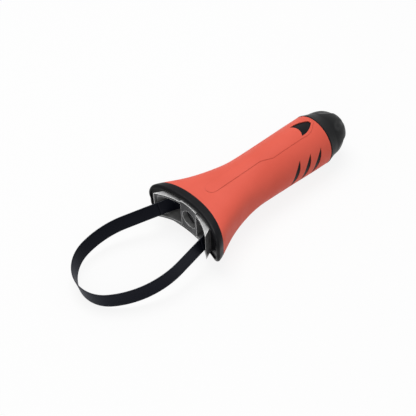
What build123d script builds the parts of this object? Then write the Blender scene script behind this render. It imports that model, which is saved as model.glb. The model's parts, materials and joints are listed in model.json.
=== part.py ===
"""Adjustable steel-band strap wrench with a turning end knob.

The handle frame used below has its X axis on the axis of the grip, from the mouth (x = 0)
to the knob, Y to the left of the grip and Z up.  Every piece is written out in the row
frame, which has the same directions and its origin at the centre of the strap loop.
Lengths are in millimetres.
"""
import os
from math import copysign, cos, pi, radians, sin, sqrt, tan

from build123d import *

os.makedirs("parts", exist_ok=True)

# ---------------------------------------------------------------- driving dimensions
# steel band
band_width = 15.0
band_thickness = 0.7
loop_front_radius = 28.6      # front arc of the loop, at mid thickness
loop_side_radius = 64.0       # both sides of the loop, at mid thickness
loop_reach = 59.9             # mouth plane to the centre of the front arc
loop_sideways = 9.9           # that centre's distance to the left of the grip axis
loop_droop = 9.6              # degrees that the loop hangs down from the grip axis
leg_spread_left = 22.4        # each leg's distance from the axis in the mouth plane
leg_spread_right = 23.1
leg_angle_left = 21.5         # degrees that the left leg runs in towards the axis
leg_angle_right = 7.7
band_split = 3.0              # where the loop meets its inner ends, behind the mouth plane
band_end_gap = 0.3

# grip outline
grip_radius = 20.6
grip_swell = 0.9              # growth of the radius from the waist to the knob
grip_end = 130.1
swell_start = 80.0
mouth_half_width = 39.6
mouth_half_height = 17.0
mouth_squareness = 4.1        # exponent of the superellipse at the mouth, 2 is an ellipse
flare_length = 61.0
height_blend_start = 12.0
height_blend_end = 98.0
sleeve_thickness = 2.2
cavity_radius = 15.0          # round bore that the carriage slides in
cavity_half_width = 14.0      # squarer space between that bore and the jaw
cavity_half_height = 12.2
cavity_round_start = 45.0
section_spacing = 12.0        # between the sections that the grip is lofted through
bond_line = 0.05              # between the core and the sleeve moulded over it
lip_depth = 6.8               # bare front lip of the core, ahead of the sleeve
lip_round = 1.6
lip_rim = 2.6                 # rim left proud round the lip's recessed face
lip_recess = 1.2
arch_radius = 95.0            # hollow front of core and sleeve, seen from above
sleeve_front = 11.1           # front of the sleeve on the axis

# jaw
jaw_half_height = 12.1
jaw_half_width = 29.2
jaw_front = 3.3               # front edge on the axis
jaw_arch_radius = 50.0
jaw_neck_half_width = 25.0
jaw_neck_front = 2.0
jaw_neck_rear = 8.0
jaw_taper = 30.0              # degrees, behind the neck
jaw_rear = 20.0
jaw_plate = 1.8               # upper and lower plates
jaw_side_wall = 1.6
jaw_block_half_width = 8.6
jaw_pad_height = 1.3
jaw_seat_gap = 0.1
jaw_screw_station = 16.5
jaw_screw_spacing = 10.4
jaw_screw_radius = 1.5
jaw_screw_length = 4.4
jaw_screw_head_radius = 2.8
jaw_screw_head_height = 1.2

# lead screw and its bearings
screw_radius = 5.0            # plain rear journal
thread_radius = 4.95
thread_relief = 0.35          # depth of the thread's rings
thread_lead = 3.0
front_journal_radius = 4.0
front_journal_start = 8.5
bush_wall = 2.5
running_gap = 0.05            # radial, shaft in bush and thread in nut
seat_gap = 0.02               # radial, a bush or nut in its housing
cap_radius = 7.2
cap_thickness = 1.0
cap_front = 7.0
stop_washer_thickness = 1.5
washer_thickness = 1.2
axial_gap = 0.1
clip_thickness = 1.0
clip_radius = 8.4
clip_groove_depth = 0.8
rear_wall_thickness = 10.0
rear_wall_inset = 4.1         # from the rear face of that wall to the end of the grip
bush_flange_thickness = 1.5
bush_flange_radius = 11.0
spigot_inner_radius = 12.5
spigot_outer_radius = 15.0
spigot_length = 4.0

# carriage
carriage_length = 14.0
carriage_half_width = 8.0
carriage_half_height = 11.4
nut_radius = 7.0
nut_flange_radius = 7.9
nut_flange_thickness = 1.5
rest_gap = 0.4                # nut to stop washer with the loop fully open
rail_half_width = 1.6
rail_face = 10.4              # inner face of the guide rails above and below the axis
rail_gap = 0.3
clamp_plate_thickness = 1.7
clamp_plate_length = 12.0
rivet_radius = 1.5
rivet_head_radius = 2.6
rivet_head_height = 1.0
rivet_pitch = 9.0
rivet_depth = 1.6             # into the side of the carriage
rivet_gap = 0.02
tail_lead_in = 2.5
tail_bend_radius = 7.0

# knob
knob_gap = 0.4
knob_radius = 21.7
knob_length = 32.0
knob_shoulder = 0.3           # share of the length where the bell turns into the dome
knob_shoulder_radius = 19.3
knob_skirt_wall = 3.6
knob_skirt_depth = 14.0
knob_hub_radius = 9.5
shaft_in_knob = 17.5
knob_web = 2.5
knob_screw_radius = 2.45
knob_screw_hole = 2.75
knob_screw_bite = 8.0
knob_screw_head_radius = 4.4
knob_screw_head_height = 2.8
end_bore_radius = 6.0
end_cap_thickness = 3.5
end_cap_gap = 0.1
end_cap_setback = 1.2
scallop_count = 6
scallop_radius = 14.0
scallop_depth = 0.7
scallop_place = 0.6           # share of the way along the knob's outline

# marks in the grip
arrow_tip = 126.2
arrow_length = 15.0
arrow_half_width = 6.7
arrow_tip_half_width = 2.1
arrow_notch = 2.4
mark_depth_below = 0.35       # marks lie this much below the surface of the sleeve
gill_count = 3
gill_pitch = 11.1
gill_first = 93.2             # middle of the first gill
gill_top = 10.8
gill_bottom = -11.2
gill_lean = 10.0              # the top lies this much nearer the knob than the bottom
gill_belly_front = 2.7
gill_belly_rear = 2.0
panel_front = 21.0
panel_rear = 128.6
panel_half_width = 4.8
panel_wide_half_width = 8.2
panel_step_start = 69.0
panel_step_end = 79.0
panel_rise = 0.3

# ---------------------------------------------------------------- derived places
droop = radians(loop_droop)
loop_centre = Vector(
    band_split - (loop_reach + band_split) * cos(droop),
    loop_sideways,
    -(loop_reach + band_split) * sin(droop),
)
sleeve_end_radius = grip_radius + grip_swell
rear_wall_rear = grip_end - rear_wall_inset
rear_wall_front = rear_wall_rear - rear_wall_thickness
stop_washer_front = jaw_rear + axial_gap
nut_front = stop_washer_front + stop_washer_thickness + rest_gap
carriage_front = nut_front + nut_flange_thickness
clip_washer_rear = rear_wall_front - axial_gap
clip_rear = clip_washer_rear - washer_thickness - axial_gap
thrust_washer_front = rear_wall_rear + bush_flange_thickness + axial_gap
hub_front = thrust_washer_front + washer_thickness + axial_gap
knob_front = grip_end + knob_gap
knob_end = knob_front + knob_length
screw_end = knob_front + shaft_in_knob
band_face = carriage_half_width + band_thickness


def save(name, shape):
    """Write one node in the row frame."""
    export_step(Pos(-loop_centre) * shape, f"parts/{name}.step")


def smoothstep(value):
    value = min(max(value, 0.0), 1.0)
    return value * value * (3 - 2 * value)


# ---------------------------------------------------------------- shape of the grip
def round_radius(x):
    return grip_radius + grip_swell * smoothstep((x - swell_start) / (grip_end - swell_start))


def half_width(x):
    flare = max(1 - max(x, 0) / flare_length, 0)
    return round_radius(x) + (mouth_half_width - grip_radius) * flare**2


def half_height(x):
    rise = smoothstep((x - height_blend_start) / (height_blend_end - height_blend_start))
    return mouth_half_height + (round_radius(x) - mouth_half_height) * rise


def squareness(x):
    flare = max(1 - max(x, 0) / flare_length, 0)
    return 2 + (mouth_squareness - 2) * flare**1.2


def superellipse(x, inset, angle):
    """Point of the grip's section at x, drawn in from the outer surface by inset."""
    power = 2 / squareness(x)
    y = (half_width(x) - inset) * copysign(abs(cos(angle)) ** power, cos(angle))
    z = (half_height(x) - inset) * copysign(abs(sin(angle)) ** power, sin(angle))
    return Vector(x, y, z)


def grip_section(x, inset, points=28, fine=40):
    """Section of the grip at x: a closed spline through evenly spaced points."""
    dense = [superellipse(x, inset, 2 * pi * step / (fine * points)) for step in range(fine * points + 1)]
    travelled = [0.0]
    for first, second in zip(dense, dense[1:]):
        travelled.append(travelled[-1] + (second - first).length)
    outline = []
    for number in range(points):
        wanted = travelled[-1] * number / points
        outline.append(next(point for point, length in zip(dense, travelled) if length >= wanted))
    return Face(Wire(Edge.make_spline(outline, periodic=True)))


def grip_solid(inset, start, end):
    """The grip's shape between two stations, drawn in by inset."""
    count = max(2, round((end - start) / section_spacing))
    stations = [start + (end - start) * step / count for step in range(count + 1)]
    return Solid(loft([grip_section(x, inset) for x in stations]).wrapped)


def round_part(inset):
    """The round rear half of the grip, drawn in by inset."""
    stations = [swell_start + (grip_end - swell_start) * step / 4 for step in range(5)]
    surface = Spline(*[(x, round_radius(x) - inset) for x in stations])
    ends = [(stations[-1], 0), (stations[0], 0)]
    sides = Polyline(surface @ 1, *ends, surface @ 0)
    return revolve(make_face([surface, sides]), axis=Axis.X)


def arch_cutter(front, radius, half_height_of_cut=60.0):
    """Upright drum whose rear is the hollow front of a piece."""
    return Pos(front - radius, 0, 0) * Cylinder(radius, 2 * half_height_of_cut)


def rod(radius, start, end):
    """Round bar on the grip axis between two stations."""
    return Pos(start, 0, 0) * Rot(0, 90, 0) * Cylinder(
        radius, end - start, align=(Align.CENTER, Align.CENTER, Align.MIN)
    )


def ring(inner, outer, start, end):
    return rod(outer, start, end) - rod(inner, start - 1, end + 1)


def slab(x_range, y_range, z_range):
    """Box between pairs of limits."""
    size = [high - low for low, high in (x_range, y_range, z_range)]
    middle = [(high + low) / 2 for low, high in (x_range, y_range, z_range)]
    return Pos(*middle) * Box(*size)


# ---------------------------------------------------------------- marks in the grip
def arrow_face():
    """Arrowhead that points to the knob, with a hollow back, seen from above."""
    back = arrow_tip - arrow_length
    shoulder = arrow_tip - 0.06 * arrow_length
    belly = (back + 0.54 * arrow_length, 0.84 * arrow_half_width)
    right = Spline((back, -arrow_half_width), (belly[0], -belly[1]), (shoulder, -arrow_tip_half_width))
    left = Spline((shoulder, arrow_tip_half_width), belly, (back, arrow_half_width))
    tip = ThreePointArc((shoulder, -arrow_tip_half_width), (arrow_tip, 0), (shoulder, arrow_tip_half_width))
    hollow = ThreePointArc((back, arrow_half_width), (back + arrow_notch, 0), (back, -arrow_half_width))
    return make_face([right, tip, left, hollow])


def gill_face(middle):
    """Pointed crescent in the XZ plane, leaning towards the knob."""
    top = Vector(middle + gill_lean / 2, 0, gill_top)
    bottom = Vector(middle - gill_lean / 2, 0, gill_bottom)
    centre = (top + bottom) / 2
    rear = ThreePointArc(bottom, centre + Vector(gill_belly_rear, 0, 0), top)
    front = ThreePointArc(top, centre - Vector(gill_belly_front, 0, 0), bottom)
    return make_face([rear, front])


def mark_prisms():
    """Prisms that cut the arrow and both rows of gills out of the sleeve."""
    reach = 2 * grip_radius
    prisms = [extrude(arrow_face(), amount=reach)]
    for number in range(gill_count):
        face = gill_face(gill_first + number * gill_pitch)
        for side in (1, -1):
            prisms.append(extrude(face, amount=reach, dir=(0, side, 0)))
    return prisms


def panel_outline():
    """Plan outline of the raised panel, from its round nose to the end that follows the arrow."""
    round_start = panel_front + panel_half_width
    rear_start = arrow_tip - arrow_length
    left = [
        (round_start, panel_half_width),
        (panel_step_start, panel_half_width),
        (panel_step_end, panel_wide_half_width),
        (rear_start, panel_wide_half_width),
    ]
    side = Polyline(*left)
    other = Polyline(*[(x, -y) for x, y in reversed(left)])
    nose = ThreePointArc(other @ 1, (panel_front, 0), side @ 0)
    flank = (rear_start + 0.56 * arrow_length, 0.93 * panel_wide_half_width)
    shoulder = (arrow_tip - 1, 2 * arrow_tip_half_width)
    tail = [
        ThreePointArc(side @ 1, flank, shoulder),
        ThreePointArc(shoulder, (panel_rear, 0), (shoulder[0], -shoulder[1])),
        ThreePointArc((shoulder[0], -shoulder[1]), (flank[0], -flank[1]), other @ 0),
    ]
    return make_face([side, *tail, other, nose])


def raised_panel():
    """Panel that stands proud of the top of the sleeve and is rooted in it."""
    stock = grip_solid(-panel_rise, panel_front - 1, grip_end) - grip_solid(1.0, panel_front - 2, grip_end + 1)
    return stock & extrude(panel_outline(), amount=2 * grip_radius)


# ---------------------------------------------------------------- core and sleeve
lip_front = sleeve_front - lip_depth
loft_start = lip_front - (arch_radius - sqrt(arch_radius**2 - mouth_half_width**2)) - 2
full_grip = grip_solid(0, loft_start, grip_end)
core_body = grip_solid(sleeve_thickness, loft_start, grip_end)
marks = mark_prisms()


def jaw_plan(margin, front_arc=True):
    """Half-open plan of the jaw: splayed front, straight neck, tapered rear; margin widens it."""
    centre_x = jaw_front - jaw_arch_radius
    tip_x = centre_x + sqrt(jaw_arch_radius**2 - jaw_half_width**2)
    rear_half = jaw_neck_half_width - (jaw_rear - jaw_neck_rear) * tan(radians(jaw_taper))
    left = [
        (tip_x, jaw_half_width + margin),
        (jaw_neck_front, jaw_neck_half_width + margin),
        (jaw_neck_rear, jaw_neck_half_width + margin),
        (jaw_rear + max(margin, 0), rear_half + margin),
    ]
    right = [(x, -y) for x, y in reversed(left)]
    outline = make_face(Polyline(*left, *right, left[0]))
    if front_arc:
        outline -= Pos(centre_x, 0) * Circle(jaw_arch_radius)
    return outline


def prism(face, half_height_of_prism):
    return Pos(0, 0, -half_height_of_prism) * extrude(face, amount=2 * half_height_of_prism)


def jaw_pocket():
    """Space in the mouth of the core that the jaw is pressed into."""
    high = jaw_half_height + jaw_seat_gap
    neck = jaw_neck_half_width + jaw_seat_gap
    pocket = prism(jaw_plan(jaw_seat_gap, front_arc=False), high)
    return pocket + slab((loft_start - 1, jaw_neck_rear), (-neck, neck), (-high, high))


# seats of the jaw screws' heads, in the core's underside
jaw_screw_seat = -half_height(jaw_screw_station) + sleeve_thickness + jaw_screw_head_height + 0.2
jaw_screw_places = [(jaw_screw_station, side * jaw_screw_spacing / 2) for side in (1, -1)]


def build_housing():
    """Core of the grip: bare rounded lip at the mouth, sleeve seat, marks, cavity and rear wall."""
    core = full_grip - arch_cutter(lip_front, arch_radius)
    core = fillet(core.faces().sort_by(Axis.X)[0].edges(), lip_round)
    around = slab((loft_start - 5, grip_end + 5), (-60, 60), (-40, 40)) - core_body
    core -= around - arch_cutter(sleeve_front, arch_radius)
    recess = extrude(grip_section(0, lip_rim), amount=2 * sleeve_front, both=True)
    core -= recess & arch_cutter(lip_front + lip_recess, arch_radius)
    pads = round_part(mark_depth_below)
    for mark in marks:
        core += pads & mark
    core -= jaw_pocket()
    cavity = rod(cavity_radius, cavity_round_start, rear_wall_front)
    cavity += slab((jaw_rear - 1, cavity_round_start + 1), (-cavity_half_width, cavity_half_width),
                   (-cavity_half_height, cavity_half_height))
    for side in (1, -1):
        z_range = sorted((side * rail_face, side * 2 * cavity_radius))
        cavity -= slab((jaw_rear + 1, rear_wall_front + 1), (-rail_half_width, rail_half_width), z_range)
    core -= cavity
    core -= rod(screw_radius + running_gap + bush_wall + seat_gap, rear_wall_front - 1, grip_end + 1)
    core -= rod(spigot_inner_radius, rear_wall_rear, grip_end + 1)
    core += ring(spigot_inner_radius, spigot_outer_radius, rear_wall_rear - 1, grip_end + spigot_length)
    for x, y in jaw_screw_places:
        hole = Pos(x, y, 0) * Cylinder(jaw_screw_radius + 0.2, 40, align=(Align.CENTER, Align.CENTER, Align.MAX))
        head = Pos(x, y, jaw_screw_seat) * Cylinder(
            jaw_screw_head_radius + 0.2, 20, align=(Align.CENTER, Align.CENTER, Align.MAX)
        )
        core -= hole
        core -= head
    return core


def build_sleeve():
    sleeve = full_grip - arch_cutter(sleeve_front, arch_radius)
    sleeve -= grip_solid(sleeve_thickness - bond_line, loft_start, grip_end)
    sleeve += raised_panel()
    for mark in marks:
        sleeve -= mark
    for x, y in jaw_screw_places:
        sleeve -= Pos(x, y, 0) * Cylinder(
            jaw_screw_head_radius + 0.6, 40, align=(Align.CENTER, Align.CENTER, Align.MAX)
        )
    return sleeve


# ---------------------------------------------------------------- jaw
def build_jaw():
    jaw = prism(jaw_plan(0), jaw_half_height)
    window_height = jaw_half_height - jaw_plate
    inside = jaw_plan(-jaw_side_wall)
    inside += Pos(jaw_rear, 0) * Rectangle(4, 2 * 14.0, align=(Align.CENTER, Align.CENTER))
    inside -= Rectangle(200, 2 * jaw_block_half_width)
    jaw -= prism(inside, window_height)
    pad = slab((-10, 20), (-jaw_block_half_width, jaw_block_half_width),
               (jaw_half_height - 0.5, jaw_half_height + jaw_pad_height))
    pad -= arch_cutter(jaw_front, jaw_arch_radius)
    pad &= arch_cutter(lip_front + lip_recess - jaw_seat_gap, arch_radius)
    jaw += pad
    bore = front_journal_radius + running_gap + bush_wall + seat_gap
    jaw -= rod(bore, cap_front, jaw_rear + 1)
    jaw -= rod(cap_radius + seat_gap, -10, cap_front + cap_thickness)
    for x, y in jaw_screw_places:
        tapped = Pos(x, y, jaw_screw_seat) * Cylinder(
            jaw_screw_radius + seat_gap, jaw_screw_length + 0.3, align=(Align.CENTER, Align.CENTER, Align.MIN)
        )
        jaw -= tapped
    return jaw


def build_jaw_screws():
    screws = []
    for x, y in jaw_screw_places:
        shank = Pos(x, y, jaw_screw_seat) * Cylinder(
            jaw_screw_radius, jaw_screw_length, align=(Align.CENTER, Align.CENTER, Align.MIN)
        )
        head = Pos(x, y, jaw_screw_seat) * Cylinder(
            jaw_screw_head_radius, jaw_screw_head_height, align=(Align.CENTER, Align.CENTER, Align.MAX)
        )
        slot = Pos(x, y, jaw_screw_seat - jaw_screw_head_height) * Box(2 * jaw_screw_head_radius, 0.8, 1.0)
        screws.append(shank + head - slot)
    return Compound(children=screws)


# ---------------------------------------------------------------- lead screw group
def build_lead_screw():
    screw = rod(front_journal_radius, front_journal_start, nut_front)
    screw += rod(thread_radius, nut_front - 1, rear_wall_front - 4)
    screw += rod(screw_radius, rear_wall_front - 4, screw_end)
    turns = int((rear_wall_front - 8 - nut_front) / thread_lead)
    for turn in range(turns):
        middle = nut_front + 1 + turn * thread_lead
        screw -= ring(thread_radius - thread_relief, thread_radius + 1, middle, middle + 0.4 * thread_lead)
    screw -= ring(screw_radius - clip_groove_depth, screw_radius + 1,
                  clip_rear - clip_thickness - axial_gap, clip_rear + axial_gap)
    screw -= rod(knob_screw_radius + seat_gap, screw_end - knob_screw_bite - 1, screw_end + 1)
    return screw


def build_clip():
    """Open retaining ring in the groove of the lead screw."""
    start, end = clip_rear - clip_thickness, clip_rear
    clip = ring(screw_radius - clip_groove_depth + seat_gap, clip_radius, start, end)
    throat = screw_radius - clip_groove_depth - 0.4
    clip -= slab((start - 1, end + 1), (-throat, throat), (-clip_radius - 1, 0))
    for angle in (60, 180, 300):
        relief = Rot(angle, 0, 0) * Pos(0, 0, screw_radius + 1.2) * Rot(0, 90, 0) * Cylinder(1.3, 6)
        clip -= Pos(clip_rear, 0, 0) * relief
    return clip


def build_rear_bush():
    inner = screw_radius + running_gap
    bush = ring(inner, inner + bush_wall, rear_wall_front, rear_wall_rear + bush_flange_thickness)
    return bush + ring(inner, bush_flange_radius, rear_wall_rear, rear_wall_rear + bush_flange_thickness)


def build_front_bush():
    inner = front_journal_radius + running_gap
    return ring(inner, inner + bush_wall, cap_front + cap_thickness, jaw_rear)


# ---------------------------------------------------------------- knob
def knob_profile():
    """Bell that closes in from the skirt, then a full dome."""
    shoulder = knob_front + knob_shoulder * knob_length
    dome = knob_end - shoulder
    points = [
        (knob_front, knob_radius),
        (shoulder, knob_shoulder_radius),
        (shoulder + 0.42 * dome, 0.9 * knob_shoulder_radius),
        (shoulder + 0.77 * dome, 0.63 * knob_shoulder_radius),
        (knob_end, 0),
    ]
    return Spline(*points, tangents=[(1, -0.3), (0, -1)])


def build_knob():
    outer = knob_profile()
    half = make_face([outer, Line((knob_end, 0), (knob_front, 0)), Line((knob_front, 0), (knob_front, knob_radius))])
    knob = revolve(half, axis=Axis.X)
    along = outer % scallop_place
    outward = Vector(-along.Y, along.X)
    centre = outer @ scallop_place + outward * (scallop_radius - scallop_depth)
    flute = Plane(origin=centre, z_dir=along) * Cylinder(scallop_radius, 2 * knob_length)
    for number in range(scallop_count):
        knob -= Rot(360 * number / scallop_count, 0, 0) * flute
    knob -= ring(knob_hub_radius, knob_radius - knob_skirt_wall, knob_front - 1, knob_front + knob_skirt_depth)
    knob += ring(screw_radius, knob_hub_radius, hub_front, knob_front + 1)
    knob -= rod(screw_radius + seat_gap, hub_front - 1, screw_end + axial_gap)
    knob -= rod(knob_screw_hole, screw_end, knob_end)
    knob -= rod(end_bore_radius, screw_end + knob_web, knob_end + 1)
    return knob


def build_knob_screw():
    washer_front = screw_end + knob_web
    head_front = washer_front + washer_thickness
    shank = rod(knob_screw_radius, screw_end - knob_screw_bite, head_front)
    head = rod(knob_screw_head_radius, head_front, head_front + knob_screw_head_height)
    socket = Pos(head_front + knob_screw_head_height, 0, 0) * Rot(0, 90, 0) * extrude(RegularPolygon(2.2, 6), amount=-1.6)
    return shank + head - socket


def build_end_cap():
    rear = knob_end - end_cap_setback
    cap = rod(end_bore_radius - end_cap_gap, rear - end_cap_thickness, rear)
    return chamfer(cap.faces().sort_by(Axis.X)[-1].edges(), 0.8)


# ---------------------------------------------------------------- carriage
def rivet_places():
    middle = carriage_front + carriage_length / 2
    return [(middle, 0, side * rivet_pitch / 2) for side in (1, -1)]


def cross_pin(place, radius, y_from, y_to):
    """Round pin along Y between two distances from the grip's middle plane."""
    x, _, z = place
    low, high = sorted((y_from, y_to))
    return Pos(x, low, z) * Rot(-90, 0, 0) * Cylinder(
        radius, high - low, align=(Align.CENTER, Align.CENTER, Align.MIN)
    )


def build_carriage():
    rear = carriage_front + carriage_length
    block = slab((carriage_front, rear), (-carriage_half_width, carriage_half_width),
                 (-carriage_half_height, carriage_half_height))
    slot = rail_half_width + rail_gap
    for side in (1, -1):
        low, high = sorted((side * (rail_face - rail_gap), side * 2 * carriage_half_height))
        block -= slab((carriage_front - 1, rear + 1), (-slot, slot), (low, high))
    block -= rod(nut_radius + seat_gap, carriage_front - 1, rear + 1)
    for side in (1, -1):
        for place in rivet_places():
            block -= cross_pin(place, rivet_radius + rivet_gap,
                               side * (carriage_half_width - rivet_depth - 0.1), side * 2 * carriage_half_width)
    return block


def build_nut():
    rear = carriage_front + carriage_length
    nut = rod(nut_radius, carriage_front, rear) + rod(nut_flange_radius, nut_front, carriage_front)
    return nut - rod(thread_radius + running_gap, nut_front - 1, rear + 1)


def build_clamp_plate(side):
    middle = carriage_front + carriage_length / 2
    x_range = (middle - clamp_plate_length / 2, middle + clamp_plate_length / 2)
    y_range = sorted((side * band_face, side * (band_face + clamp_plate_thickness)))
    plate = slab(x_range, y_range, (-band_width / 2, band_width / 2))
    plate = fillet(plate.edges().filter_by(Axis.Y), 1.5)
    for place in rivet_places():
        plate -= cross_pin(place, rivet_radius + rivet_gap, side * carriage_half_width, side * 2 * band_face)
    return plate


def build_rivets():
    rivets = []
    outer = band_face + clamp_plate_thickness
    for side in (1, -1):
        for place in rivet_places():
            shank = cross_pin(place, rivet_radius, side * (carriage_half_width - rivet_depth), side * outer)
            head = cross_pin(place, rivet_head_radius, side * outer, side * (outer + rivet_head_height))
            rivets.append(shank + head)
    return Compound(children=rivets)


# ---------------------------------------------------------------- steel band
def leg_direction(side):
    """Unit vector along a leg, out of the mouth."""
    angle = radians(leg_angle_left if side > 0 else leg_angle_right)
    return Vector(-cos(angle), side * sin(angle))


def leg_foot(side):
    """Where a leg crosses the mouth plane."""
    return Vector(0, leg_spread_left if side > 0 else -leg_spread_right)


def leg_point(side, x):
    """Point of a straight leg at a station of the grip."""
    direction = leg_direction(side)
    return leg_foot(side) + direction * (x / direction.X)


def arc_between(centre, start, end):
    middle = (start - centre) + (end - centre)
    return ThreePointArc(start, centre + middle.normalized() * (start - centre).length, end)


def loop_path():
    """Centreline of the loop in its own plane: leg, side, front, side and leg, all tangent."""
    front_centre = Vector(-loop_reach, loop_sideways)
    pieces = {}
    for side in (1, -1):
        direction = leg_direction(side)
        inward = Vector(-abs(direction.Y), -side * abs(direction.X))
        base = leg_foot(side) + inward * loop_side_radius - front_centre
        along = base.dot(direction)
        reach = loop_side_radius - loop_front_radius
        run = -along - sqrt(along**2 - base.dot(base) + reach**2)
        leg_end = leg_foot(side) + direction * run
        side_centre = leg_end + inward * loop_side_radius
        outward = (front_centre - side_centre).normalized()
        front_end = front_centre + outward * loop_front_radius
        pieces[side] = (leg_end, side_centre, front_end)
    left_leg, left_centre, left_front = pieces[1]
    right_leg, right_centre, right_front = pieces[-1]
    return Wire([
        Line(leg_point(1, band_split), left_leg),
        arc_between(left_centre, left_leg, left_front),
        arc_between(front_centre, left_front, right_front),
        arc_between(right_centre, right_front, right_leg),
        Line(right_leg, leg_point(-1, band_split)),
    ])


def ribbon(path):
    """Strip of band standing on edge along a flat path."""
    start = Plane(origin=path @ 0, x_dir=(0, 0, 1), z_dir=path % 0)
    return sweep(start * Rectangle(band_width, band_thickness), path=path)


def build_loop():
    loop = ribbon(loop_path())
    return Pos(band_split, 0, 0) * Rot(0, -loop_droop, 0) * Pos(-band_split, 0, 0) * loop


def build_tail(side):
    """Inner end of the band, from the loop to its clamp on the carriage."""
    into = leg_direction(side) * -1
    start = leg_point(side, band_split) + into * band_end_gap * 4
    bend = start + into * tail_lead_in
    seat = side * (carriage_half_width + band_thickness / 2)
    points = [start, bend, Vector(carriage_front - 2, seat), Vector(carriage_front + carriage_length - 1, seat)]
    path = Wire(FilletPolyline(*points, radius=tail_bend_radius).edges())
    tail = ribbon(path)
    for place in rivet_places():
        tail -= cross_pin(place, rivet_radius + rivet_gap, side * (carriage_half_width - 1), side * 2 * band_face)
    return tail


# ---------------------------------------------------------------- write every node
save("housing", build_housing())
save("grip_sleeve", build_sleeve())
save("jaw", build_jaw())
save("jaw_screws", build_jaw_screws())
save("bearing_cap", rod(cap_radius, cap_front, cap_front + cap_thickness))
save("front_bush", build_front_bush())
save("stop_washer", ring(thread_radius + 0.2, nut_flange_radius,
                         stop_washer_front, stop_washer_front + stop_washer_thickness))
save("rear_bush", build_rear_bush())
save("clip_washer", ring(screw_radius + running_gap, bush_flange_radius - 1.5,
                         clip_washer_rear - washer_thickness, clip_washer_rear))
save("retaining_clip", build_clip())
save("thrust_washer", ring(screw_radius + running_gap, knob_hub_radius,
                           thrust_washer_front, thrust_washer_front + washer_thickness))
save("lead_screw", build_lead_screw())
save("knob", build_knob())
save("knob_washer", ring(knob_screw_radius + running_gap, end_bore_radius - 0.3,
                         screw_end + knob_web, screw_end + knob_web + washer_thickness))
save("knob_screw", build_knob_screw())
save("knob_cap", build_end_cap())
save("carriage", build_carriage())
save("carriage_nut", build_nut())
save("band_rivets", build_rivets())
save("band_loop", build_loop())
for side_name, side_sign in (("left", 1), ("right", -1)):
    save(f"clamp_plate_{side_name}", build_clamp_plate(side_sign))
    save(f"band_tail_{side_name}", build_tail(side_sign))
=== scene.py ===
"""Looks of an adjustable steel-band strap wrench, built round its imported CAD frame.

Everything is in metres in the row frame: X runs from the loop to the knob, Y to the left of
the grip, Z up, and the origin is the centre of the strap loop.
"""

import json
from math import cos, pi, radians, sin, sqrt

import bmesh
import bpy
from mathutils import Matrix, Vector
from mathutils.geometry import interpolate_bezier


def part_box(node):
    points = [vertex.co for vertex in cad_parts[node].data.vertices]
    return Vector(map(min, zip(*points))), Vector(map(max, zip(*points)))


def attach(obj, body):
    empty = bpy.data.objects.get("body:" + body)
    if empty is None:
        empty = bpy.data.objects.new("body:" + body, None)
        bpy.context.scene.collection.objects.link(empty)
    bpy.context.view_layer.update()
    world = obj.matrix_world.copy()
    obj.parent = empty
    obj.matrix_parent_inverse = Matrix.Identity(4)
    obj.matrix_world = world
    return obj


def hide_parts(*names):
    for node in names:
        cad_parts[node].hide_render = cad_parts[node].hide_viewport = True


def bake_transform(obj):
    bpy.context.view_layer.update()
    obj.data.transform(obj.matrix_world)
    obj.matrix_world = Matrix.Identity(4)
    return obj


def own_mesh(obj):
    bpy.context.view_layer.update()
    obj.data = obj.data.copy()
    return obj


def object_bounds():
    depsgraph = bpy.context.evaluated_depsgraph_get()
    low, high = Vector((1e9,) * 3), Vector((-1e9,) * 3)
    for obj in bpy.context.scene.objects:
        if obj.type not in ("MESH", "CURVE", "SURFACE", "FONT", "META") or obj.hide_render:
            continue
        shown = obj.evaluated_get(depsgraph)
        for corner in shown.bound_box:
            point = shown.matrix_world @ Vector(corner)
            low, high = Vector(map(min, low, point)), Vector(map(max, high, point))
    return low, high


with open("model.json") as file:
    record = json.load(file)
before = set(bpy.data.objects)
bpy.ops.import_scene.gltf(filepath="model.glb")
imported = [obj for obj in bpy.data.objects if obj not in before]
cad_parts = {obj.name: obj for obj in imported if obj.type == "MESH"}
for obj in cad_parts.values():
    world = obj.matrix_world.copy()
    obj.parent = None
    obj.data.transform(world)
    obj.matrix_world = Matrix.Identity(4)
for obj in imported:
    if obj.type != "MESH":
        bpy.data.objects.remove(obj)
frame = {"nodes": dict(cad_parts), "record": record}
cad_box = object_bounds()

MM = 0.001

# ------------------------------------------------------------------ places from the frame
screw_low, screw_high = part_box("lead_screw")
knob_low, knob_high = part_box("knob")
grip_axis = (screw_low + screw_high) / 2
knob_hub_station = 128.9 * MM            # front of the knob's hub, measured from the mouth plane
knob_front_station = 130.5 * MM          # front edge of its skirt
mouth = Vector((knob_low.x - knob_hub_station, grip_axis.y, grip_axis.z))
knob_front = mouth.x + knob_front_station
knob_end = knob_high.x

# ------------------------------------------------------------------ steel band
band_width = 15.0 * MM
band_thickness = 0.7 * MM
band_edge_round = 0.22 * MM
band_bow = 0.1 * MM                      # how far the middle of the width stands out
band_corner_steps = 3                    # facets round each edge of the section
band_face_steps = 8                      # facets across each of its faces
loop_front_radius = 28.6 * MM            # of the round front of the loop
loop_side_radius = 64.0 * MM             # of the flatter arc on each side of it
loop_reach = 59.9 * MM                   # from the mouth plane to the middle of the front arc
loop_sideways = 9.9 * MM                 # from the grip axis to that middle, to the left
loop_droop = radians(9.6)                # slope of the loop's plane below the grip axis
leg_feet = {1: 22.4 * MM, -1: -23.1 * MM}            # where each leg crosses the mouth plane
leg_angles = {1: radians(21.5), -1: radians(7.7)}    # how far each leg turns outwards
band_split = 3.0 * MM                    # behind the mouth plane: where the band starts to droop
band_end_gap = 1.2 * MM                  # between the CAD loop and the CAD tails
loop_root = -5.5 * MM                    # start of the visible loop, in front of the jaw
tail_lead_in = 2.5 * MM                  # straight stretch before the CAD tail's first bend
tail_bend_radius = 7.0 * MM
tail_fade = 16.0 * MM                    # length over which a tail levels out
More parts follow.
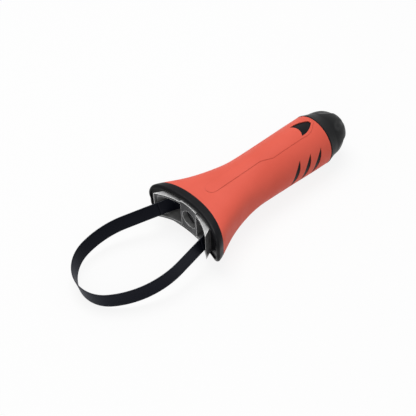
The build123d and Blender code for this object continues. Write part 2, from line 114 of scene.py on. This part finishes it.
tail_clamp_lead = 2.0 * MM               # from the corner of the last bend to the carriage
tail_end_inset = 1.0 * MM                # how far the band's end stays inside its clamp
band_step = 1.2 * MM                     # spacing of the band's cross sections
carriage_low, carriage_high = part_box("carriage")

# ------------------------------------------------------------------ knob
knob_radius = 21.7 * MM
knob_shoulder = 0.3                      # share of the length where the bell turns into the dome
knob_shoulder_radius = 19.3 * MM
knob_bell_handles = ((0.36, 0.957), (0.7, 1.03))     # shares of its length, and of its two radii
knob_dome_handles = ((0.567, 0.953), (1.0, 0.59))    # shares of its length, and of its first radius
knob_bell_steps = 16
knob_dome_steps = 64
knob_facets = 240                        # around the knob
knob_end_bore = 6.0 * MM
knob_edge_round = 0.7 * MM
flute_count = 6
knob_skirt_radius = 17.8 * MM            # inside of the skirt
knob_skirt_depth = 3.0 * MM
knob_bore_depth = 3.5 * MM
flute_depth = 0.9 * MM
flute_fullness = 1.1                     # over 1, the middle of a flute is a little flat
flute_turn = radians(12)
flute_middle = 20.0 * MM                 # from the knob's front face
flute_half_length = 9.5 * MM
flute_half_angle = radians(17)

# ------------------------------------------------------------------ camera
camera_place = (-222.63 * MM, -306.85 * MM, 404.1 * MM)     # from the middle of the mouth
camera_right = (0.7602, -0.64886, -0.03287)
camera_toward = (0.43332, 0.54408, -0.71848)
camera_turn = -0.00087                   # fine turn to the right, in radians
camera_tip = 0.00020                     # fine turn upwards
camera_roll = 0.006                      # the camera's top leans this much to its right
camera_lens = 66.18                      # focal length for the sensor's width, both in millimetres
camera_sensor = 36.0
camera_near = 0.01

# ------------------------------------------------------------------ stage and light
floor_size = 4.0
floor_squares = 8
floor_middle = 0.06                      # along the grip
floor_gap = 0.2 * MM                     # below the object's lowest point
floor_grey = (0.65, 0.65, 0.65)
floor_roughness = 0.9
floor_glow = 1.05                        # strength of its own light
floor_glow_share = 0.82                  # how much of what is seen is that light
world_dim = 0.38                         # what lights the object
world_white = 1.0                        # what the camera sees, directly or mirrored
white = (1.0, 1.0, 1.0)


# ------------------------------------------------------------------ material helpers
bevel_samples = 6
crevice_samples = 8
noise_low, noise_high = 0.3, 0.7         # nearly all of a noise lies between these
shut_in, open_air = 0.3, 0.95            # open share of the view deep in a crevice and out of it


def add(tree, kind, settings=None, **inputs):
    """New node; inputs are values, or sockets to link, by socket name with _ for a space."""
    node = tree.nodes.new(kind)
    for key, value in (settings or {}).items():
        setattr(node, key, value)
    for key, value in inputs.items():
        socket = node.inputs[int(key[1:])] if key[1:].isdigit() else node.inputs[key.replace("_", " ")]
        if isinstance(value, bpy.types.NodeSocket):
            tree.links.new(value, socket)
        else:
            socket.default_value = value
    return node


def start_material(name):
    """Empty node material: its tree, its shader and the object's own coordinates."""
    material = bpy.data.materials.new(name)
    material.use_nodes = True
    tree = material.node_tree
    shader = tree.nodes["Principled BSDF"]
    place = add(tree, "ShaderNodeTexCoord").outputs["Object"]
    return material, tree, shader, place


def noise(tree, place, scale, detail=3.0, stretch=None):
    """Noise from 0 to 1, mostly near the middle; a stretch scales it by axis first."""
    if stretch:
        place = add(tree, "ShaderNodeMapping", Vector=place, Scale=stretch).outputs["Vector"]
    return add(tree, "ShaderNodeTexNoise", Vector=place, Scale=scale, Detail=detail).outputs["Fac"]


def remap(tree, value, low, high, to_low=0.0, to_high=1.0):
    """Value taken evenly from one range to another, and held at its ends."""
    node = add(tree, "ShaderNodeMapRange", Value=value)
    for name, number in (("From Min", low), ("From Max", high), ("To Min", to_low), ("To Max", to_high)):
        node.inputs[name].default_value = number
    return node.outputs["Result"]


def rgba(red, green, blue):
    return (red, green, blue, 1.0)


def scaled(colour, factor):
    """Colour made lighter or darker, no lighter than near white."""
    return tuple(min(factor * value, 0.95) for value in colour)


def blend_colour(tree, factor, first, second):
    """First colour where the factor is 0 and second where it is 1; each a colour or a socket."""
    node = add(tree, "ShaderNodeMix", {"data_type": "RGBA"}, _0=factor)
    for number, value in ((6, first), (7, second)):
        if isinstance(value, bpy.types.NodeSocket):
            tree.links.new(value, node.inputs[number])
        else:
            node.inputs[number].default_value = rgba(*value)
    return node.outputs[2]


def mottled(tree, place, scale, detail, first, second, low=noise_low, high=noise_high):
    """Soft patches of two colours."""
    return blend_colour(tree, remap(tree, noise(tree, place, scale, detail), low, high), first, second)


def rounded_normal(tree, radius):
    """Surface direction with the edges rounded off for the eye."""
    return add(tree, "ShaderNodeBevel", {"samples": bevel_samples}, Radius=radius).outputs["Normal"]


def edge_mask(tree, radius, strength=6.0):
    """1 on convex or hollow edges and 0 on open faces."""
    rounded = rounded_normal(tree, radius)
    plain = add(tree, "ShaderNodeNewGeometry").outputs["Normal"]
    aligned = add(tree, "ShaderNodeVectorMath", {"operation": "DOT_PRODUCT"}, _0=rounded, _1=plain)
    return remap(tree, aligned.outputs["Value"], 1.0, 1.0 - 1.0 / strength)


def scuffed_edges(tree, place, scale, low, high, colour, bare):
    """Colour with the bare one showing through in specks along the edges."""
    specks = remap(tree, noise(tree, place, scale, 5.0), low, high)
    worn = add(tree, "ShaderNodeMath", {"operation": "MULTIPLY"},
               _0=edge_mask(tree, 0.5 * MM), _1=specks).outputs["Value"]
    return blend_colour(tree, worn, colour, bare)


def painted_crevice_shade(tree, colour, dark, distance, darkest):
    """Colour with painted shade: it falls to the dark one in crevices about that deep, but for its
    darkest share.
    """
    shade = add(tree, "ShaderNodeAmbientOcclusion", {"samples": crevice_samples, "only_local": True},
                Distance=distance).outputs["AO"]
    return blend_colour(tree, remap(tree, shade, shut_in, open_air, darkest, 1.0), dark, colour)


def bump(tree, height, strength, distance, below=None):
    """Relief as a surface direction, on top of another where one is given."""
    node = add(tree, "ShaderNodeBump", Strength=strength, Distance=distance, Height=height)
    if below is not None:
        tree.links.new(below, node.inputs["Normal"])
    return node.outputs["Normal"]


def set_looks(tree, shader, colour, rough, normal, **values):
    """Link a material's looks to its shader; values go by socket name with _ for a space."""
    tree.links.new(colour, shader.inputs["Base Color"])
    tree.links.new(rough, shader.inputs["Roughness"])
    tree.links.new(normal, shader.inputs["Normal"])
    for key, value in values.items():
        shader.inputs[key.replace("_", " ")].default_value = value


def uneven(tree, place, scale, low, high):
    """Roughness that wanders between two values."""
    return remap(tree, noise(tree, place, scale, 4.0), noise_low, noise_high, low, high)


# ------------------------------------------------------------------ materials
def grip_rubber():
    """Soft red overmould: satin, finely pebbled, with painted shade making it a little darker and duller
    in its hollows.
    """
    material, tree, shader, place = start_material("grip_rubber")
    colour = mottled(tree, place, 28.0, 4.0, (0.69, 0.102, 0.066), (0.75, 0.120, 0.080))
    specks = remap(tree, noise(tree, place, 1900.0, 2.0), 0.62, 0.80, 0.0, 0.25)
    colour = blend_colour(tree, specks, colour, (0.61, 0.082, 0.054))
    # painted shade: darker red in hollows about 1 mm deep
    colour = painted_crevice_shade(tree, colour, (0.34, 0.045, 0.032), 1.0 * MM, 0.35)
    colour = scuffed_edges(tree, place, 220.0, 0.55, 0.75, colour, (0.80, 0.20, 0.15))
    wavy = bump(tree, noise(tree, place, 60.0, 2.0), 0.12, 0.6 * MM, rounded_normal(tree, 0.45 * MM))
    pebbled = bump(tree, noise(tree, place, 2600.0, 3.0), 0.22, 0.04 * MM, wavy)
    rough = uneven(tree, place, 90.0, 0.46, 0.58)
    set_looks(tree, shader, colour, rough, pebbled, Specular_IOR_Level=0.15)
    return material


def moulded_plastic(name, dark, light, rough_low, rough_high, grain_scale, grain_depth):
    """Hard moulded plastic with a spark-eroded grain, paler where hands rub its edges."""
    material, tree, shader, place = start_material(name)
    colour = mottled(tree, place, 45.0, 4.0, dark, light)
    colour = scuffed_edges(tree, place, 260.0, 0.45, 0.72, colour, scaled(light, 2.5))
    rough = uneven(tree, place, 120.0, rough_low, rough_high)
    pits = noise(tree, place, grain_scale, 3.0)
    grain = bump(tree, pits, 0.3, grain_depth, rounded_normal(tree, 0.4 * MM))
    set_looks(tree, shader, colour, rough, grain, Specular_IOR_Level=0.1)
    return material


def die_cast():
    """Cast zinc alloy: mottled grey, pitted and stained, with painted shade on its front faces and in
    its crevices, and painted highlights along its edges.
    """
    material, tree, shader, place = start_material("jaw_alloy")
    colour = mottled(tree, place, 160.0, 5.0, (0.26, 0.26, 0.264), (0.40, 0.40, 0.398), 0.32, 0.68)
    stains = remap(tree, noise(tree, place, 700.0, 4.0), 0.58, 0.72, 0.0, 0.5)
    colour = blend_colour(tree, stains, colour, (0.17, 0.17, 0.17))
    # painted shade: faces that look forwards, towards the loop, are darkened
    facing = add(tree, "ShaderNodeSeparateXYZ",
                 Vector=add(tree, "ShaderNodeNewGeometry").outputs["Normal"]).outputs["X"]
    painted_front_shade = remap(tree, facing, -0.6, -0.95)
    colour = blend_colour(tree, painted_front_shade, colour, (0.035, 0.035, 0.038))
    # painted highlight: near white along the rounded edges
    colour = blend_colour(tree, edge_mask(tree, 0.6 * MM, 8.0), colour, (0.90, 0.90, 0.89))
    # painted shade: darker in crevices about 4 mm deep
    colour = painted_crevice_shade(tree, colour, (0.05, 0.05, 0.052), 4.0 * MM, 0.25)
    rolling = bump(tree, noise(tree, place, 260.0, 3.0), 0.25, 0.25 * MM, rounded_normal(tree, 0.3 * MM))
    pitted = bump(tree, noise(tree, place, 1700.0, 4.0), 0.3, 0.06 * MM, rolling)
    rough = uneven(tree, place, 420.0, 0.34, 0.52)
    set_looks(tree, shader, colour, rough, pitted, Metallic=0.6, Specular_IOR_Level=0.3)
    return material


def blued_band():
    """Blued spring steel: rolling streaks along the band, bare bright edges."""
    material, tree, shader, _ = start_material("band_steel")
    place = add(tree, "ShaderNodeTexCoord").outputs["UV"]
    streaks = remap(tree, noise(tree, place, 1.0, 5.0, (25.0, 2600.0, 1.0)), 0.35, 0.65)
    patches = remap(tree, noise(tree, place, 1.0, 4.0, (70.0, 160.0, 1.0)), noise_low, noise_high)
    colour = blend_colour(tree, streaks, (0.002, 0.0023, 0.0042), (0.004, 0.0047, 0.008))
    colour = blend_colour(tree, patches, colour, (0.0035, 0.004, 0.008))
    across = add(tree, "ShaderNodeSeparateXYZ", Vector=place).outputs["Y"]
    centred = add(tree, "ShaderNodeMath", {"operation": "ABSOLUTE"}, _0=across).outputs["Value"]
    rim = remap(tree, centred, band_width / 2 - 0.25 * MM, band_width / 2 - 0.02 * MM)
    colour = blend_colour(tree, rim, colour, (0.05, 0.052, 0.06))
    brushed = bump(tree, noise(tree, place, 1.0, 3.0, (60.0, 5200.0, 1.0)), 0.15, 0.02 * MM)
    rough = remap(tree, streaks, 0.0, 1.0, 0.36, 0.50)
    set_looks(tree, shader, colour, rough, brushed, Metallic=0.1, Specular_IOR_Level=0.045,
              Specular_Tint=rgba(0.66, 0.74, 1.0))
    return material


def machined(name, dark, light, rough_low, rough_high):
    """Turned or stamped metal with fine lines across the grip axis, left by the tool."""
    material, tree, shader, place = start_material(name)
    colour = mottled(tree, place, 300.0, 4.0, dark, light)
    # painted highlight: lighter along the edges
    colour = blend_colour(tree, edge_mask(tree, 0.2 * MM), colour, scaled(light, 1.4))
    # painted shade: darker in crevices about 1.5 mm deep
    colour = painted_crevice_shade(tree, colour, scaled(dark, 0.25), 1.5 * MM, 0.2)
    rings = bump(tree, noise(tree, place, 1.0, 2.0, (9000.0, 200.0, 200.0)), 0.2, 0.02 * MM)
    rough = uneven(tree, place, 500.0, rough_low, rough_high)
    set_looks(tree, shader, colour, rough, rings, Metallic=1.0)
    return material


finishes = {
    "grip_rubber": grip_rubber(),
    "core_plastic": moulded_plastic(
        "core_plastic", dark=(0.0025, 0.0025, 0.0035), light=(0.0055, 0.0055, 0.007),
        rough_low=0.28, rough_high=0.40, grain_scale=2200.0, grain_depth=0.03 * MM),
    "knob_plastic": moulded_plastic(
        "knob_plastic", dark=(0.0065, 0.007, 0.0078), light=(0.012, 0.0125, 0.0135),
        rough_low=0.36, rough_high=0.50, grain_scale=1500.0, grain_depth=0.06 * MM),
    "jaw_alloy": die_cast(),
    "band_steel": blued_band(),
    "steel": machined("steel", dark=(0.42, 0.42, 0.43), light=(0.56, 0.56, 0.57),
                      rough_low=0.25, rough_high=0.4),
    "spring_steel": machined("spring_steel", dark=(0.10, 0.10, 0.11), light=(0.16, 0.16, 0.17),
                             rough_low=0.3, rough_high=0.45),
    "brass": machined("brass", dark=(0.55, 0.40, 0.17), light=(0.68, 0.51, 0.24),
                      rough_low=0.28, rough_high=0.42),
    "rubber": moulded_plastic(
        "rubber", dark=(0.012, 0.012, 0.012), light=(0.018, 0.018, 0.018),
        rough_low=0.7, rough_high=0.85, grain_scale=1800.0, grain_depth=0.05 * MM),
}


def finish_cad_nodes():
    """Give every CAD node the finish of its own material slot."""
    slots = {entry["node"]: entry["material_slot"] for entry in frame["record"]["subparts"]}
    for name, node in frame["nodes"].items():
        node.data.materials.clear()
        node.data.materials.append(finishes[slots[name]])


# ------------------------------------------------------------------ mesh helpers
def new_object(name, mesh_tool, slot):
    """Object from a finished bmesh, smooth but for its end faces, with the slot's finish."""
    mesh = bpy.data.meshes.new(name)
    bmesh.ops.recalc_face_normals(mesh_tool, faces=mesh_tool.faces)
    mesh_tool.to_mesh(mesh)
    mesh_tool.free()
    for polygon in mesh.polygons:
        polygon.use_smooth = len(polygon.vertices) == 4
    piece = bpy.data.objects.new(name, mesh)
    bpy.context.scene.collection.objects.link(piece)
    mesh.materials.append(finishes[slot])
    return piece


def smoothstep(value):
    """0 below 0, 1 above 1 and a soft S between."""
    value = min(max(value, 0.0), 1.0)
    return value * value * (3 - 2 * value)


def arc_points(centre, radius, start, end):
    """Evenly spaced points from start to just before end, angles the short way round."""
    turn = (end - start + pi) % (2 * pi) - pi
    count = max(2, round(abs(turn) * radius / band_step))
    angles = [start + turn * step / count for step in range(count)]
    return [centre + radius * Vector((cos(angle), sin(angle))) for angle in angles]


def line_points(start, end):
    """Evenly spaced points from start to just before end."""
    count = max(2, round((end - start).length / band_step))
    return [start.lerp(end, step / count) for step in range(count)]


def angle_of(vector):
    """Angle of a flat vector from +X, anticlockwise."""
    return Vector((1.0, 0.0)).angle_signed(vector) * -1


def leg_direction(side):
    """Way that a leg runs out of the mouth; side is 1 for the left leg and -1 for the right."""
    return Vector((-cos(leg_angles[side]), side * sin(leg_angles[side])))


def leg_point(side, x):
    """Point of a straight leg at a distance behind the mouth plane."""
    direction = leg_direction(side)
    return Vector((0.0, leg_feet[side])) + direction * (x / direction.x)


def loop_centreline():
    """Middle of the band round the loop, in its own plane, from the left leg to the right one."""
    front_centre = Vector((-loop_reach, loop_sideways))
    ends = {}
    for side in (1, -1):                 # each side arc touches its leg and the front arc
        direction = leg_direction(side)
        inward = Vector((-abs(direction.y), -side * abs(direction.x)))
        base = Vector((0.0, leg_feet[side])) + inward * loop_side_radius - front_centre
        along = base.dot(direction)
        reach = loop_side_radius - loop_front_radius
        run = -along - sqrt(along**2 - base.dot(base) + reach**2)
        leg_end = Vector((0.0, leg_feet[side])) + direction * run
        side_centre = leg_end + inward * loop_side_radius
        front_end = front_centre + (front_centre - side_centre).normalized() * loop_front_radius
        ends[side] = (leg_end, side_centre, front_end)
    left_leg, left_centre, left_front = ends[1]
    right_leg, right_centre, right_front = ends[-1]
    points = line_points(leg_point(1, loop_root), left_leg)
    points += arc_points(left_centre, loop_side_radius,
                         angle_of(left_leg - left_centre), angle_of(left_front - left_centre))
    start, end = angle_of(left_front - front_centre), angle_of(right_front - front_centre)
    halfway = start + ((end - start) % (2 * pi)) / 2
    points += arc_points(front_centre, loop_front_radius, start, halfway)
    points += arc_points(front_centre, loop_front_radius, halfway, end)
    points += arc_points(right_centre, loop_side_radius,
                         angle_of(right_front - right_centre), angle_of(right_leg - right_centre))
    points += line_points(right_leg, leg_point(-1, loop_root))
    points.append(leg_point(-1, loop_root))
    return points


def rounded_corner(before, corner, after, radius):
    """Arc that rounds one corner of a flat path."""
    first = (before - corner).normalized()
    second = (after - corner).normalized()
    half_angle = first.angle(second) / 2
    reach = radius / sin(half_angle)
    centre = corner + (first + second).normalized() * reach
    touch = reach * cos(half_angle)
    start = angle_of(corner + first * touch - centre)
    end = angle_of(corner + second * touch - centre)
    return arc_points(centre, radius, start, end), corner + first * touch, corner + second * touch


def tail_centreline(side):
    """Inner end of the band, from the loop to its clamp on the carriage."""
    into = leg_direction(side) * -1
    start = leg_point(side, loop_root)
    first = leg_point(side, band_split) + into * (band_end_gap + tail_lead_in)
    seat = side * ((carriage_high.y - carriage_low.y) / 2 + band_thickness / 2)
    clamp_front = carriage_low.x - mouth.x
    clamp_rear = carriage_high.x - mouth.x
    second = Vector((clamp_front - tail_clamp_lead, seat))
    end = Vector((clamp_rear - tail_end_inset, seat))
    arc_one, in_one, out_one = rounded_corner(start, first, second, tail_bend_radius)
    arc_two, in_two, out_two = rounded_corner(first, second, end, tail_bend_radius)
    points = line_points(start, in_one) + arc_one + line_points(out_one, in_two) + arc_two
    return points + line_points(out_two, end) + [end]


def band_section():
    """Cross section: (across the thickness, across the width), edges rounded, slightly bowed."""
    half_width, half_thickness = band_width / 2, (band_thickness - band_bow) / 2
    flat_width, flat_thickness = half_width - band_edge_round, half_thickness - band_edge_round
    outline = []
    for quarter, (face, edge) in enumerate(((1, 1), (-1, 1), (-1, -1), (1, -1))):
        for step in range(band_corner_steps + 1):
            angle = pi / 2 * (quarter + step / band_corner_steps)
            outline.append((face * flat_thickness + band_edge_round * cos(angle),
                            edge * flat_width + band_edge_round * sin(angle)))
        if quarter in (1, 3):            # the next corner is across the face
            for step in range(1, band_face_steps):
                share = 1 - 2 * step / band_face_steps
                outline.append((face * half_thickness, edge * flat_width * share))
    return [(out + band_bow * (0.5 - (across / half_width) ** 2), across) for out, across in outline]


def path_length(points):
    return sum((second - first).length for first, second in zip(points, points[1:]))


def band_piece(name, points, way=1, start=0.0, level_from=None):
    """Strip of band on edge along a flat path in the loop's drooping plane, bowed to one side.

    Way is 1 where the path runs the way of the whole band and -1 where it runs back, and start
    is where the path begins on the whole band.
    Past level_from, a length along the path, the strip levels out to the plane of the grip.
    """
    section = band_section()
    work = bmesh.new()
    layer = work.loops.layers.uv.new("along")
    travelled = [0.0]
    for first, second in zip(points, points[1:]):
        travelled.append(travelled[-1] + (second - first).length)
    hinge = Vector((band_split, 0.0, 0.0))
    rings = []
    for number, point in enumerate(points):
        ahead = points[min(number + 1, len(points) - 1)]
        behind = points[max(number - 1, 0)]
        along = (ahead - behind).normalized()
        outward = Vector((-along.y, along.x))
        level = 0.0
        if level_from is not None:
            level = smoothstep((travelled[number] - level_from) / tail_fade)
        turn = Matrix.Rotation(-loop_droop * (1 - level), 3, "Y")
        ring = []
        for out, across in section:
            offset = outward * out * way
            flat = Vector((point.x + offset.x, point.y + offset.y, across))
            ring.append(work.verts.new(mouth + hinge + turn @ (flat - hinge)))
        rings.append(ring)
    size = len(section)
    for number in range(len(rings) - 1):
        for step in range(size):
            following = (step + 1) % size
            face = work.faces.new((rings[number][step], rings[number][following],
                                   rings[number + 1][following], rings[number + 1][step]))
            spots = ((number, step), (number, following), (number + 1, following), (number + 1, step))
            for loop, (station, place) in zip(face.loops, spots):
                loop[layer].uv = (start + way * travelled[station], section[place][1])
    work.faces.new(rings[0])
    work.faces.new(list(reversed(rings[-1])))
    return new_object(name, work, "band_steel")


def build_band():
    """The loop, fixed to the handle as it stands, and its two tails inside the grip; on the wrench the
    loop closes up as the carriage runs back.
    """
    points = loop_centreline()
    loop = band_piece("steel_band_loop", points)
    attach(loop, "handle")
    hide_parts("band_loop")
    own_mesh(loop)
    for side, name, start in ((1, "left", 0.0), (-1, "right", path_length(points))):
        in_jaw = (leg_point(side, band_split) - leg_point(side, loop_root)).length
        tail = band_piece(f"steel_band_tail_{name}", tail_centreline(side), -side, start, in_jaw)
        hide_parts(f"band_tail_{name}")
        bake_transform(tail)


# ------------------------------------------------------------------ knob
def knob_outline():
    """Half outline as (distance from the knob's front face, radius), from the skirt to the end bore."""
    length = knob_end - knob_front
    shoulder = knob_shoulder * length
    edge = knob_edge_round
    front = [Vector((knob_skirt_depth, knob_skirt_radius)), Vector((0.0, knob_skirt_radius))]
    front += [Vector((0.0, knob_radius - edge)), Vector((0.25 * edge, knob_radius - 0.25 * edge))]
    crest = Vector((shoulder, knob_shoulder_radius))
    (first_x, first_radius), (second_x, second_radius) = knob_bell_handles
    bell = interpolate_bezier(Vector((edge, knob_radius - 0.1 * edge)),
                              Vector((first_x * shoulder, first_radius * knob_radius)),
                              Vector((second_x * shoulder, second_radius * knob_shoulder_radius)),
                              crest, knob_bell_steps)
    first, second = [crest + Vector((x * (length - shoulder), (radius - 1) * knob_shoulder_radius))
                     for x, radius in knob_dome_handles]
    dome = interpolate_bezier(crest, first, second, Vector((length, 0.0)), knob_dome_steps)
    kept = [point for point in dome[1:] if point.y > knob_end_bore + edge]
    rim = kept[-1].x
    bore = [Vector((rim + 0.3 * edge, knob_end_bore + 0.3 * edge)),
            Vector((rim - 0.3 * edge, knob_end_bore)),
            Vector((rim - knob_bore_depth, knob_end_bore)),
            Vector((rim - knob_bore_depth, 0.2 * knob_end_bore))]
    return front + bell + kept + bore


def flute(x, angle):
    """Depth of the finger flutes at a place on the knob: shallow dishes, longer than wide."""
    pitch = 2 * pi / flute_count
    offset = (angle - flute_turn + pitch / 2) % pitch - pitch / 2
    dish = 1 - ((x - flute_middle) / flute_half_length) ** 2 - (offset / flute_half_angle) ** 2
    return flute_depth * smoothstep(dish * flute_fullness)


def build_knob():
    """Smooth moulded knob with its flutes, in place of the CAD solid."""
    work = bmesh.new()
    rings = []
    for point in knob_outline():
        ring = []
        for step in range(knob_facets):
            angle = 2 * pi * step / knob_facets
            radius = point.y
            if radius > knob_end_bore + 0.1 * MM:        # the bore stays round
                radius -= flute(point.x, angle)
            ring.append(work.verts.new((knob_front + point.x, grip_axis.y + radius * cos(angle),
                                        grip_axis.z + radius * sin(angle))))
        rings.append(ring)
    for first, second in zip(rings, rings[1:]):
        for step in range(knob_facets):
            following = (step + 1) % knob_facets
            work.faces.new((first[step], first[following], second[following], second[step]))
    work.faces.new(rings[0])
    work.faces.new(rings[-1])
    knob = new_object("moulded_knob", work, "knob_plastic")
    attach(knob, "knob")
    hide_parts("knob")


# ------------------------------------------------------------------ stage, light and camera
def seen_directly(tree):
    """1 for what the camera sees, by itself or mirrored in metal, and 0 for other rays."""
    ray = add(tree, "ShaderNodeLightPath").outputs
    mirrored = add(tree, "ShaderNodeMath", {"operation": "MAXIMUM"},
                   _0=ray["Is Glossy Ray"], _1=ray["Is Transmission Ray"]).outputs["Value"]
    return add(tree, "ShaderNodeMath", {"operation": "MAXIMUM"},
               _0=ray["Is Camera Ray"], _1=mirrored).outputs["Value"]


def build_floor():
    """Flat floor: seen by the camera it is nearly plain white, with a faint shadow kept."""
    work = bmesh.new()
    bmesh.ops.create_grid(work, x_segments=floor_squares, y_segments=floor_squares, size=floor_size / 2)
    mesh = bpy.data.meshes.new("studio_floor")
    work.to_mesh(mesh)
    work.free()
    floor = bpy.data.objects.new("studio_floor", mesh)
    bpy.context.scene.collection.objects.link(floor)
    floor.location = (floor_middle, 0.0, cad_box[0].z - floor_gap)
    material = bpy.data.materials.new("studio_floor")
    material.use_nodes = True
    tree = material.node_tree
    shader = tree.nodes["Principled BSDF"]
    shader.inputs["Base Color"].default_value = rgba(*floor_grey)
    shader.inputs["Roughness"].default_value = floor_roughness
    glow = add(tree, "ShaderNodeEmission", Color=rgba(*white), Strength=floor_glow)
    share = remap(tree, seen_directly(tree), 0.0, 1.0, 0.0, floor_glow_share)
    mixed = add(tree, "ShaderNodeMixShader", _0=share, _1=shader.outputs[0], _2=glow.outputs[0])
    tree.links.new(mixed.outputs[0], tree.nodes["Material Output"].inputs["Surface"])
    mesh.materials.append(material)


def soft_light(name, place, target, size, power):
    """Round lamp that points at the target, its size in metres and its power in watts."""
    data = bpy.data.lights.new(name, "AREA")
    data.shape = "DISK"
    data.size = size
    data.energy = power
    lamp = bpy.data.objects.new(name, data)
    bpy.context.scene.collection.objects.link(lamp)
    lamp.location = place
    lamp.rotation_mode = "QUATERNION"
    lamp.rotation_quaternion = (Vector(target) - Vector(place)).to_track_quat("-Z", "Y")


def build_world():
    """White surroundings that light the object less than the camera sees of them."""
    world = bpy.data.worlds.new("studio")
    bpy.context.scene.world = world
    world.use_nodes = True
    tree = world.node_tree
    dim = tree.nodes["Background"]
    dim.inputs["Color"].default_value = rgba(*white)
    dim.inputs["Strength"].default_value = world_dim
    bright = add(tree, "ShaderNodeBackground", Color=rgba(*white), Strength=world_white)
    mixed = add(tree, "ShaderNodeMixShader",
                _0=seen_directly(tree), _1=dim.outputs[0], _2=bright.outputs[0])
    tree.links.new(mixed.outputs[0], tree.nodes["World Output"].inputs["Surface"])


def build_camera():
    """Camera above the loop's right side, looking along the grip and down."""
    right = Vector(camera_right)
    toward = (Vector(camera_toward) + right * camera_turn).normalized()
    up = right.cross(toward)
    toward = (toward + up * camera_tip).normalized()
    right = toward.cross(up).normalized()
    up = (right.cross(toward) + right * camera_roll).normalized()
    right = toward.cross(up).normalized()
    data = bpy.data.cameras.new("camera")
    data.sensor_width = camera_sensor
    data.lens = camera_lens
    data.clip_start = camera_near
    camera = bpy.data.objects.new("camera", data)
    bpy.context.scene.collection.objects.link(camera)
    turn = Matrix((right, up, -toward)).transposed()
    camera.matrix_world = Matrix.Translation(mouth + Vector(camera_place)) @ turn.to_4x4()
    bpy.context.scene.camera = camera


finish_cad_nodes()
build_band()
build_knob()
build_floor()
build_world()
build_camera()
soft_light("key", place=(0.15, 0.25, 1.2), target=(0.08, 0.0, 0.0), size=0.9, power=10.5)
soft_light("fill", place=(-0.7, -0.7, 0.7), target=(0.05, 0.0, 0.0), size=0.7, power=2.5)
bpy.context.scene.view_settings.view_transform = "Standard"
